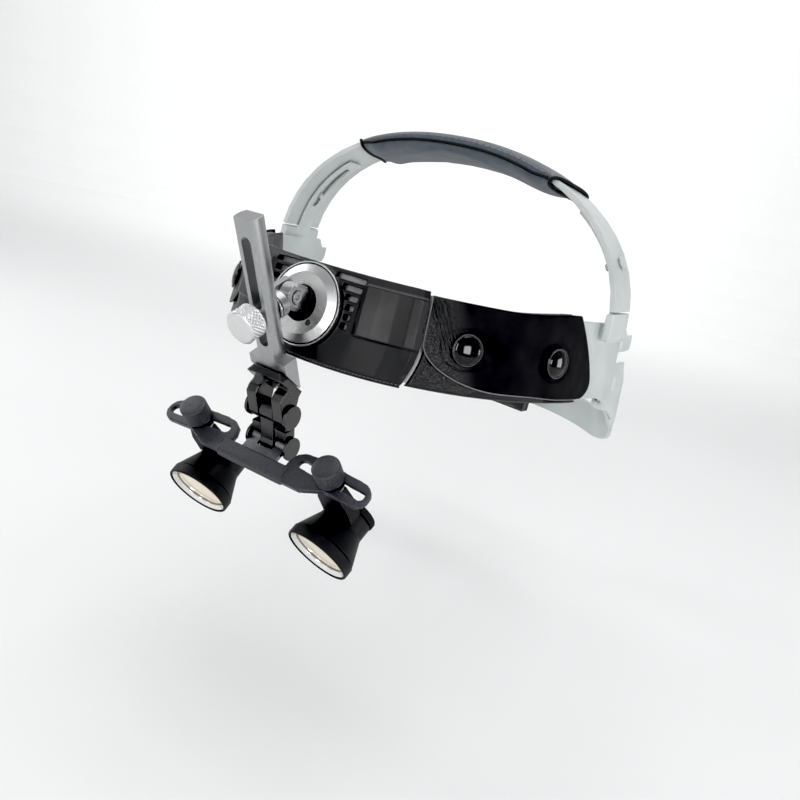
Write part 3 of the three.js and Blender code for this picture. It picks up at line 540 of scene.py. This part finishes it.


# ---- finishes of the CAD pieces --------------------------------------------------------------
# The edge colour each blasted finish takes is partly wear and partly a painted highlight.
FINISH = {
    "housing": moulded(
        "housing_black", (0.005, 0.005, 0.006), 0.36, grain=1500, specular_ior_level=0.4),
    "shell": moulded(
        "ratchet_black", (0.010, 0.010, 0.011), 0.42, grain=1300, depth=0.04,
        specular_ior_level=0.35),
    "white": moulded("yoke_white", (0.47, 0.505, 0.497), 0.34, grain=500, depth=0.012),
    # Partly painted shade: the plate, seen through the vents, is given a darker grey to stand for
    # the shade inside the housing.
    "plate": moulded("back_plate_grey_and_shade", (0.36, 0.36, 0.38), 0.45, grain=700),
    "thumb": blasted("thumb_silver", (0.66, 0.67, 0.67), 0.36, wear_and_highlight=(0.8, 0.8, 0.8)),
    "silver": blasted("silver_blasted", (0.36, 0.37, 0.37), 0.33, wear_and_highlight=(0.7, 0.7, 0.7)),
    "disc": turned_metal("silver_turned", (0.56, 0.56, 0.56), 0.30, 0.0004, (-DISC_TILT, 0, 0)),
    "chrome": blasted("chrome_worn_and_highlit", (0.50, 0.51, 0.52), 0.2, wear_and_highlight=(0.8, 0.8, 0.8), depth=0.006),
    "dark_chrome": blasted(
        "chrome_dark", (0.16, 0.165, 0.175), 0.2, wear_and_highlight=(0.5, 0.5, 0.5), depth=0.006),
    "bright": blasted("ring_bright", (0.78, 0.78, 0.78), 0.14, wear_and_highlight=(0.9, 0.9, 0.9), depth=0.004),
    "satin": blasted(
        "black_satin", (0.007, 0.007, 0.008), 0.22, wear_and_highlight=(0.16, 0.16, 0.17), metallic=0,
        grain=1400, depth=0.03, speckle=1.6, specular_ior_level=0.85),
    # Painted shade: a near-black finish for the post's base in the shadow of the disc's hub.
    "hole": moulded("hub_shadow", (0.004, 0.004, 0.004), 0.6, specular_ior_level=0.2),
    "black": blasted(
        "black_anodised", (0.018, 0.019, 0.023), 0.38, wear_and_highlight=(0.2, 0.2, 0.21), metallic=0,
        grain=2400, depth=0.05, speckle=2.6, specular_ior_level=0.55),
    "barrel": blasted(
        "barrel_black", (0.005, 0.005, 0.006), 0.5, wear_and_highlight=(0.03, 0.03, 0.032), metallic=0,
        grain=2000, speckle=1.4, specular_ior_level=0.3),
    "rubber": moulded(
        "eyecup_rubber", (0.008, 0.008, 0.009), 0.75, grain=1200, depth=0.05,
        specular_ior_level=0.3),
    # Painted: the objective's cream colour stands for the skin seen through the lens.
    "glass": coated_glass("coated_lens", (0.62, 0.54, 0.38)),
    "eyepiece": coated_glass("eyepiece_lens", (0.06, 0.07, 0.09)),
    "gloss": moulded(
        "snap_gloss", (0.002, 0.002, 0.003), 0.05, grain=60, depth=0.004, specular_ior_level=0.45),
    "leather": leather(),
    "weave": woven("pad_weave", (0.032, 0.041, 0.053), (0.13, 0.165, 0.205), 0.0011),
    "foam": woven("foam_cover", (0.007, 0.007, 0.008), (0.024, 0.025, 0.028), 0.0008),
    "edge": moulded("trim_grey", (0.16, 0.16, 0.17), 0.6, grain=1500, depth=0.03),
    "binding": moulded(
        "binding_black", (0.006, 0.006, 0.007), 0.6, grain=1500, depth=0.04,
        specular_ior_level=0.3),
    "thread": moulded("thread_grey", (0.22, 0.22, 0.23), 0.8, grain=4000, depth=0.03),
}

# Each CAD node that shows: its finish and the radius of its edges in millimetres.
SHOWN = {
    "front_housing": ("housing", 0.35),
    "housing_back_plate": ("plate", 0.3),
    "disc_trim_ring": ("chrome", 0.1),
    "mounting_disc": ("disc", 0.3),
    "disc_grub_screw": ("black", 0.1),
    "swivel_post": ("chrome", 0.25),
    "pivot_screw": ("chrome", 0.15),
    "slider_bar": ("silver", 0.35),
    "clamp_washer": ("chrome", 0.15),
    "tilt_arm": ("silver", 0.3),
    "hinge_bracket": ("satin", 0.3),
    "upper_hinge_pin": ("satin", 0.25),
    "hinge_link": ("satin", 0.3),
    "lower_hinge_pin": ("satin", 0.25),
    "bracket_screw": ("black", 0.15),
    "cross_bar": ("black", 0.25),
    "hinge_leaf": ("dark_chrome", 0.2),
    "crown_strap": ("white", 0.5),
    "ratchet_housing": ("shell", 0.6),
    "ratchet_cover": ("shell", 0.3),
    "ratchet_knob": ("shell", 0.35),
    "ratchet_pinion": ("shell", 0.15),
}
for side in ("left", "right"):
    SHOWN.update({
        side + "_side_yoke": ("white", 0.45),
        side + "_strap_peg": ("white", 0.3),
        side + "_rear_strap": ("white", 0.4),
        side + "_stud": ("dark_chrome", 0.15),
        side + "_neck": ("barrel", 0.4),
        side + "_objective_bezel": ("barrel", 0.2),
        side + "_barrel": ("barrel", 0.3),
        side + "_lens_ring": ("bright", 0.1),
        side + "_objective_lens": ("glass", 0.1),
        side + "_eyepiece_lens": ("eyepiece", 0.1),
        side + "_eyecup": ("rubber", 0.3),
    })


def dress(node, finish, radius):
    """The node's own mesh with rounded edges and its procedural finish."""
    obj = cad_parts[node]
    obj.data.materials.clear()
    obj.data.materials.append(FINISH[finish])
    weld = obj.modifiers.new("weld", "WELD")
    weld.merge_threshold = 2e-6
    bevel = obj.modifiers.new("round", "BEVEL")
    bevel.width = radius * MM
    bevel.segments = 3
    bevel.limit_method = "ANGLE"
    bevel.angle_limit = math.radians(21)
    bevel.use_clamp_overlap = True
    bevel.miter_outer = "MITER_ARC"
    normals = obj.modifiers.new("shade", "WEIGHTED_NORMAL")
    normals.weight = 80
    normals.keep_sharp = False


# Pieces whose joined forms run into one another with fillets: their body, slot, finish, voxel in
# millimetres and relaxing steps.
MOULDED = {
    "front_housing": ("headband", "black_plastic", "housing", 0.3, 2),
    "hinge_bracket": ("slider", "black_metal", "satin", 0.3, 3),
    "hinge_link": ("link", "black_metal", "satin", 0.3, 3),
    "cross_bar": ("bridge", "black_metal", "black", 0.35, 2),
    "left_side_yoke": ("headband", "white_plastic", "white", 0.6, 7),
    "right_side_yoke": ("headband", "white_plastic", "white", 0.6, 7),
}

for node, (finish, radius) in SHOWN.items():
    if node not in MOULDED:
        dress(node, finish, radius)
for node, (body, slot, finish, voxel, steps) in MOULDED.items():
    ready(refined(node, voxel, steps, FINISH[finish]), body, slot, node)


HUB_DEPTH = 8.4  # how far out of the disc's frame its hub's shadow reaches, in millimetres


def darken_hub():
    """The post's base lies in the shadow of the disc's hub and is painted near-black there as
    painted shade, dark like the bore round it.
    """
    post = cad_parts["swivel_post"].data
    post.materials.append(FINISH["hole"])
    outwards = Vector((0, -math.sin(DISC_TILT), math.cos(DISC_TILT)))
    for polygon in post.polygons:
        height = (polygon.center - Vector(DISC_AT) * MM).dot(outwards) / MM
        polygon.material_index = 1 if height < HUB_DEPTH else 0


darken_hub()


# ---- knurled knobs and screw -----------------------------------------------------------------
def diamond_knurl(radius, depth, low, high, teeth, lead):
    """Two crossing sets of grooves between the heights low and high, in millimetres."""
    def radius_at(r, z, angles):
        if abs(r - radius) > 1e-6 or not low < z < high:
            return np.full(len(angles), r)
        turn = z * lead  # how far the grooves have wound at this height
        first = np.abs(((angles * teeth + turn) / (2 * math.pi)) % 1 - 0.5) * 2
        second = np.abs(((angles * teeth - turn) / (2 * math.pi)) % 1 - 0.5) * 2
        fade = min((z - low) / 0.25, (high - z) / 0.25, 1)
        return r - depth * fade * (1 - np.minimum(first, second) ** 0.8)
    return radius_at


def straight_knurl(radius, depth, low, high, teeth):
    """Grooves along the axis between the heights low and high, in millimetres."""
    def radius_at(r, z, angles):
        if abs(r - radius) > 1e-6 or not low < z < high:
            return np.full(len(angles), r)
        fade = min((z - low) / 0.3, (high - z) / 0.3, 1)
        return r - depth * fade * (0.5 + 0.5 * np.cos(angles * teeth)) ** 1.6
    return radius_at


def run(radius, low, high, count):
    """The knurled stretch of an outline, divided finely enough to carry its grooves."""
    return [(radius, low + (high - low) * i / count) for i in range(count + 1)]


BAR_FRAME = local_frame((0, -142.6, 27.3), BAR_LEAN)  # the slotted bar
PLATE_FRAME = local_frame((0, -113.7, -52.2), PLATE_PITCH)  # the cross bar that holds the loupes
PD_HALF = 32.1  # half the distance between the magnifiers' studs
SWEEP = math.radians(3.8)  # how far each half of the cross bar is swept


def thumb_screw():
    radius, low, high = 5.85, 0.75, 6.45
    outline = [(0, 0), (4.9, 0.05), (5.25, 0.18), (5.55, 0.55)]
    outline += run(radius, low, high, 40)
    outline += [(5.5, 6.75), (5.2, 7.0), (3.0, 7.1), (3.0, 9.1)]
    outline += [(1.65, 9.15), (1.65, 19.4), (1.4, 19.6), (0, 19.6)]
    place = BAR_FRAME @ local_frame((0, -9.5, -33.1), -math.pi / 2)
    knurl = diamond_knurl(radius, 0.42, low, high, 24, 4.2)
    made = lathe("thumb_screw_knurled", outline, 312, FINISH["thumb"], place, knurl)
    return ready(made, "thumb", "silver", "thumb_screw")


def station(side):
    """The frame of one magnifier: its stud runs along z."""
    place = PLATE_FRAME @ Matrix.Translation(Vector((side * PD_HALF, -1, 0)) * MM)
    return place @ Matrix.Rotation(-side * SWEEP, 4, "Z")


def loupe_knob(side, name):
    radius, low, high = 5.2, 1.75, 8.3
    outline = [(0, 1.4), (4.7, 1.4), (5.0, 1.6)]
    outline += run(radius, low, high, 14)
    outline += [(5.05, 8.62), (4.75, 8.86), (4.3, 8.98), (2.4, 9.03), (0, 9.03)]
    knurl = straight_knurl(radius, 0.2, low, high, 40)
    made = lathe(name + "_knob_knurled", outline, 320, FINISH["black"], station(side), knurl)
    return ready(made, name + "_thumb_nut", "black_metal", name + "_knob")


SNAPS = (("front", 25.7, -1.2), ("rear", 44.3, -1.6))  # name, theta, v
SNAP_OFF = 4.05  # how far off the ring the caps stand


def snap_dome(side, name, which, theta, v):
    """A glossy cap with a rolled rim standing on the leather."""
    dome = [(0, 1.75), (1.2, 1.72), (2.4, 1.6), (3.5, 1.38), (4.3, 1.1), (4.85, 0.8), (5.05, 0.6)]
    rim = [(5.2, 0.56), (5.4, 0.72), (5.65, 0.78), (5.85, 0.62), (5.97, 0.34), (5.95, 0.0)]
    outline = dome + rim + [(4, -0.05), (0, -0.05)]
    centre = band(side * theta, v, SNAP_OFF)
    along = band(side * theta + 0.2, v, SNAP_OFF) - centre
    up = band(side * theta, v + 0.5, SNAP_OFF) - centre
    out = Vector(np.cross(along, up)).normalized()
    across = Vector(along).normalized()
    place = Matrix((across, out.cross(across), out)).transposed().to_4x4()
    place.translation = Vector(centre)
    made = lathe(f"{name}_{which}_snap_cap", outline, 96, FINISH["gloss"], place)
    return ready(made, "headband", "gloss_black", f"{name}_{which}_snap")


thumb_screw()
for side, name in ((1, "left"), (-1, "right")):
    loupe_knob(side, name)
    for which, theta, v in SNAPS:
        snap_dome(side, name, which, theta, v)


# ---- leather ---------------------------------------------------------------------------------
def leather_end(f):
    """Where the leather ends round the band, by the share f of its height."""
    slant = np.maximum((f - 0.2) / 0.8, 0) ** 1.3
    corner = np.maximum((0.2 - f) / 0.2, 0)
    return 58 - 8.2 * slant - 4.7 * (1 - np.sqrt(1 - corner ** 2))


LEATHER_HIGH = 15
UNDERLAY_LOW = -17.8
FLAP_FROM = 18.95  # front edge of the flaps
FLAP_LOW = -15.2
CORNER_FROM = 33  # where their lower front corner starts to round
CORNER_RISE = 14.2
HEM = 0.7  # how far the flaps hang below the yokes' edge to the rear
TONGUE = dict(theta=21.7, v=5.8, radius=2.3)  # the rounded front corners of the yokes' tongues


def leather_high(theta):
    return LEATHER_HIGH + 2.2 * smoothstep(theta, 32, 50)


def flap_low(theta):
    t = np.clip((CORNER_FROM - theta) / (CORNER_FROM - FLAP_FROM), 0, 1)
    edge = FLAP_LOW + CORNER_RISE * (1 - np.sqrt(np.maximum(1 - t ** 2, 0)))
    return edge - HEM * smoothstep(theta, 38, 47)


def soft_noise(x, y, seed):
    """Smooth repeatable noise between -1 and 1 from a few turned sine waves."""
    rng = np.random.default_rng(seed)
    total = np.zeros_like(x)
    for _ in range(7):
        turn, phase = rng.uniform(0, 2 * math.pi, 2)
        rate = rng.uniform(0.6, 1.7)
        total += np.sin(rate * (x * math.cos(turn) + y * math.sin(turn)) + phase)
    return total / 7 * 1.8


def seam_end(v, shift):
    """The angle where the front unit ends and the leather starts: it turns forward low down."""
    return 18.9 + shift - 1.5 * np.maximum((-6 - v) / 11.5, 0) ** 1.4


def leather_grid(start, low, rows, columns):
    """theta and v of a grid of points over one leather piece, and their distance to its edge."""
    f = np.linspace(0, 1, rows)[:, None]
    s = np.linspace(0, 1, columns)[None, :] ** 1.6
    theta = start(f) + s * (leather_end(f) - start(f))
    bottom = low(theta)
    v = bottom + f * (leather_high(theta) - bottom)
    flat = band(theta, v, 0) / MM
    rim = np.concatenate([flat[0], flat[:, -1], flat[-1, ::-1], flat[::-1, 0]])
    reach = np.full(theta.shape, 1e9)
    for point in rim:
        reach = np.minimum(reach, np.linalg.norm(flat - point, axis=-1))
    return theta, v, reach


def rounded(reach, radius):
    """How far the face falls towards an edge rounded with that radius."""
    t = np.clip(1 - reach / radius, 0, 1)
    return radius * (1 - np.sqrt(1 - t ** 2))


def mark(obj, name, values):
    attribute = obj.data.attributes.new(name, "FLOAT", "POINT")
    attribute.data.foreach_set("value", np.asarray(values, np.float32).ravel())


def leather_flap(side, name):
    """The outer flap: creased and pebbled in front, smooth where it lies over the yoke."""
    rows, columns = 84, 180
    theta, v, reach = leather_grid(
        lambda f: np.full(f.shape, FLAP_FROM), flap_low, rows, columns)
    arc = (theta - FLAP_FROM) * PER_DEGREE
    warp = 0.8 * soft_noise(arc * 0.5, v * 0.5, 3)
    across = arc - (14 - v) * 0.36 + warp
    fan = smoothstep(across, -2.2, -0.4) * (1 - smoothstep(across, 3.6, 6.2))
    fan = fan * smoothstep(v, -7, -1) * (1 - 0.4 * smoothstep(v, 12, 15))
    crease = np.abs(np.sin(across * 2.5 + 0.5 * soft_noise(arc, v, 5))) ** 0.7
    pebbled = 1 - smoothstep(arc + 0.25 * v + 0.8 * warp, 6, 14)
    ripple = 0.09 * soft_noise(arc * 1.5, v * 1.5, 9) * pebbled
    sag = 0.18 * soft_noise(arc * 0.16, v * 0.2, 21)
    outer = 3.7 - rounded(reach, 0.6) - 0.8 * fan * (1 - crease)
    outer = np.minimum(outer + ripple + sag * smoothstep(reach, 0, 5), 3.74)
    for _, at, height in SNAPS:
        away = np.hypot((theta - at) * PER_DEGREE, v - height)
        outer -= 0.35 * np.exp(-((away - 6.6) / 0.9) ** 2)
    inner = np.full(theta.shape, 2.3) + rounded(reach, 0.35)
    made = slab(
        name + "_flap_leather",
        band(side * theta, v, outer),
        band(side * theta, v, inner),
        FINISH["leather"],
    )
    fix_normals(made)
    mark(made, "grain", np.concatenate([pebbled.ravel(), pebbled.ravel()]))
    ready(made, "headband", "leather", name + "_leather_flap")
    edging = piping(name + "_flap_edge", side)
    return made


def piping(name, side):
    """The flap's pale cut edge, from the top corner by the housing round to its rear end."""
    turn = np.linspace(0, math.pi / 2, 70)
    corner = CORNER_FROM - (CORNER_FROM - FLAP_FROM) * np.sin(turn)
    back = np.linspace(52, CORNER_FROM, 50)
    theta = np.concatenate([back, corner[1:], np.full(30, FLAP_FROM)])
    rise = FLAP_LOW + CORNER_RISE * (1 - np.cos(turn[1:]))
    front = np.linspace(FLAP_LOW + CORNER_RISE + 0.4, 14.4, 30)
    v = np.concatenate([flap_low(back), rise, front])
    path = band(side * (theta + 0.05), v + 0.05, 3.4)
    return tube(name, path, 0.24, FINISH["edge"], "headband", "leather")


def tube(name, path, radius, paint, body, slot, sides=10):
    """A thin round strand along a path of points in metres."""
    path = np.asarray(path)
    tangent = np.gradient(path, axis=0)
    tangent /= np.linalg.norm(tangent, axis=1, keepdims=True)
    first = np.cross(tangent, (0, 0, 1.0))
    weak = np.linalg.norm(first, axis=1) < 0.2
    first[weak] = np.cross(tangent[weak], (0, 1.0, 0))
    first /= np.linalg.norm(first, axis=1, keepdims=True)
    second = np.cross(tangent, first)
    angles = np.arange(sides) * 2 * math.pi / sides
    cos, sin = np.cos(angles)[None, :, None], np.sin(angles)[None, :, None]
    rings = path[:, None] + radius * MM * (cos * first[:, None] + sin * second[:, None])
    points = np.concatenate([rings.reshape(-1, 3), path[:1], path[-1:]])
    count = len(path) * sides
    faces = grid_faces(len(path), sides, 0, True)
    faces += [(count, (j + 1) % sides, j) for j in range(sides)]
    end = count - sides
    faces += [(count + 1, end + j, end + (j + 1) % sides) for j in range(sides)]
    made = mesh_object(name, points, faces, paint)
    fix_normals(made)
    return ready(made, body, slot)


def leather_underlay(side, name):
    """The padded strip behind the yoke, full where nothing holds it down."""
    rows, columns = 60, 110
    theta, v, reach = leather_grid(
        lambda f: seam_end(UNDERLAY_LOW + (LEATHER_HIGH - UNDERLAY_LOW) * f, 0.3),
        lambda t: np.full(t.shape, UNDERLAY_LOW),
        rows,
        columns,
    )
    free = smoothstep(np.abs(v), 8.05, 8.5) * (1 - smoothstep(theta, 43.5, 45.8))
    free = np.maximum(free, smoothstep(-v, 16.9, 17.15))
    ahead = np.maximum(TONGUE["theta"] - theta, 0) * PER_DEGREE
    outside = np.hypot(ahead, np.maximum(np.abs(v) - TONGUE["v"], 0)) - TONGUE["radius"]
    free = np.maximum(free, smoothstep(outside, 0, 0.3) * (theta < 30))
    arc = (theta - FLAP_FROM) * PER_DEGREE
    ripple = 0.06 * soft_noise(arc * 1.3, v * 1.3, 31)
    outer = -0.6 + 2.5 * free + ripple * free - rounded(reach, 0.9)
    inner = -2.0 - 0.5 * smoothstep(reach, 0, 6) + rounded(reach, 0.45)
    made = slab(
        name + "_underlay_leather",
        band(side * theta, v, outer),
        band(side * theta, v, inner),
        FINISH["leather"],
    )
    fix_normals(made)
    mark(made, "grain", np.ones(2 * rows * columns))
    ready(made, "headband", "leather", name + "_leather_underlay")
    return made


for side, name in ((1, "left"), (-1, "right")):
    leather_flap(side, name)
    leather_underlay(side, name)


# ---- pads ------------------------------------------------------------------------------------
def stitches(name, path, body, slot, length=2.2, gap=0.9, radius=0.17):
    """A row of short raised thread stitches along a path of points in metres."""
    path = np.asarray(path)
    steps = np.concatenate([[0], np.cumsum(np.linalg.norm(np.diff(path, axis=0), axis=1))]) / MM
    threads = []
    start = gap
    while start + length < steps[-1]:
        at = np.linspace(start, start + length, 7)
        points = np.stack([np.interp(at, steps, path[:, k]) for k in range(3)], axis=1)
        thread = f"{name}_{len(threads)}"
        threads.append(tube(thread, points, radius, FINISH["thread"], body, slot, 6))
        start += length + gap
    return joined(name, threads, body, slot)


def joined(name, objects, body, slot):
    merged = bmesh.new()
    for obj in objects:
        merged.from_mesh(obj.data)
    paint = objects[0].data.materials[0]
    mesh = bpy.data.meshes.new(name)
    merged.to_mesh(mesh)
    merged.free()
    mesh.materials.append(paint)
    mesh.shade_smooth()
    for obj in objects:
        bpy.data.objects.remove(obj)
    made = bpy.data.objects.new(name, mesh)
    scene.collection.objects.link(made)
    return ready(made, body, slot)


def pad(node, name, paint, slot, body, voxel, cap):
    """A stuffed copy of a CAD pad: remeshed, swollen by cloth pressure and smoothed."""
    made = refined(node, voxel, 3, paint, name)
    inflate(made, cap)
    subdivided(made, 1)
    made.data.shade_smooth()
    ready(made, body, slot, node)
    return made


pad("forehead_pad", "forehead_cushion", FINISH["foam"], "foam", "headband", 1.3, 0.5)
pad("occipital_pad", "occipital_cushion", FINISH["foam"], "foam", "rear", 1.3, 0.9)


def power_ring(angles, half_y, low, high, power):
    """y and off of a rounded rectangle round the crown strap."""
    c, s = np.cos(angles), np.sin(angles)
    middle, half = (low + high) / 2, (high - low) / 2
    return half_y * np.sign(c) * np.abs(c) ** power, middle + half * np.sign(s) * np.abs(s) ** power


def crown_sleeve():
    """A padded fabric sleeve round the crown strap, thick under it and open at both ends."""
    start, end, rows, around = 48, 132, 90, 72
    angles = np.arange(around) * 2 * math.pi / around
    u = np.linspace(start, end, rows)[:, None]
    ends = smoothstep(np.minimum(u - start, end - u), -0.5, 7)
    turn = angles[None, :]
    lean = np.cos(math.pi * (u - start) / (end - start)) ** 3
    bow = (0.8 * np.sin(turn) + 2.6 * np.cos(turn)) * lean
    y, off = power_ring(turn, 15.4 + 2.0 * ends, -4.2 - 3.6 * ends, 1.1 + 0.1 * ends, 0.62)
    outer = arch(u - bow, y + CROWN_Y, off)
    y, off = power_ring(turn, 14.2, -2.95, 0.5, 0.25)
    inner = arch(u - bow, y + CROWN_Y, off)
    count = rows * around
    points = np.concatenate([outer.reshape(-1, 3), inner.reshape(-1, 3)])
    faces = grid_faces(rows, around, 0, True)
    faces += [tuple(reversed(f)) for f in grid_faces(rows, around, count, True)]
    for row in (0, rows - 1):
        for j in range(around):
            a, b = row * around + j, row * around + (j + 1) % around
            quad = (b, a, a + count, b + count)
            faces.append(quad if row == 0 else tuple(reversed(quad)))
    made = mesh_object("crown_sleeve", points, faces, FINISH["weave"])
    fix_normals(made)
    free = np.zeros(2 * count)
    free[:count] = (ends * (0.45 + 0.55 * (np.sin(turn) < -0.2))).ravel()
    inflate(made, 0.9, allow=free)
    swollen = vertices(made)[:count].reshape(rows, around, 3)
    subdivided(made, 1)
    made.data.shade_smooth()
    ready(made, "crown", "pad_fabric", "crown_pad")
    for name, column in (("front", around // 2), ("rear", 0)):
        edge = swollen[1:-1, column]
        tube(f"crown_{name}_piping", edge, 0.65, FINISH["binding"], "crown", "pad_fabric", 12)
        beside = swollen[3:-3, column + (4 if name == "rear" else -4)]
        stitches(f"crown_{name}_stitches", beside, "crown", "pad_fabric", 2.0, 1.0, 0.2)
    for name, row in (("left", 0), ("right", rows - 1)):
        loop = np.concatenate([swollen[row], swollen[row, :1]])
        tube(f"crown_{name}_binding", loop, 0.75, FINISH["binding"], "crown", "pad_fabric", 12)


crown_sleeve()
brow = np.linspace(-17.0, 17.0, 160)  # the cushion's lower edge, in degrees
tube("forehead_piping", band(brow, -18.7, -0.75), 0.42, FINISH["foam"], "headband", "foam")
stitches("forehead_stitches", band(brow, -18.05, -0.35), "headband", "foam", 0.9, 0.55, 0.14)

# ---- the set ---------------------------------------------------------------------------------
place_camera()
studio()
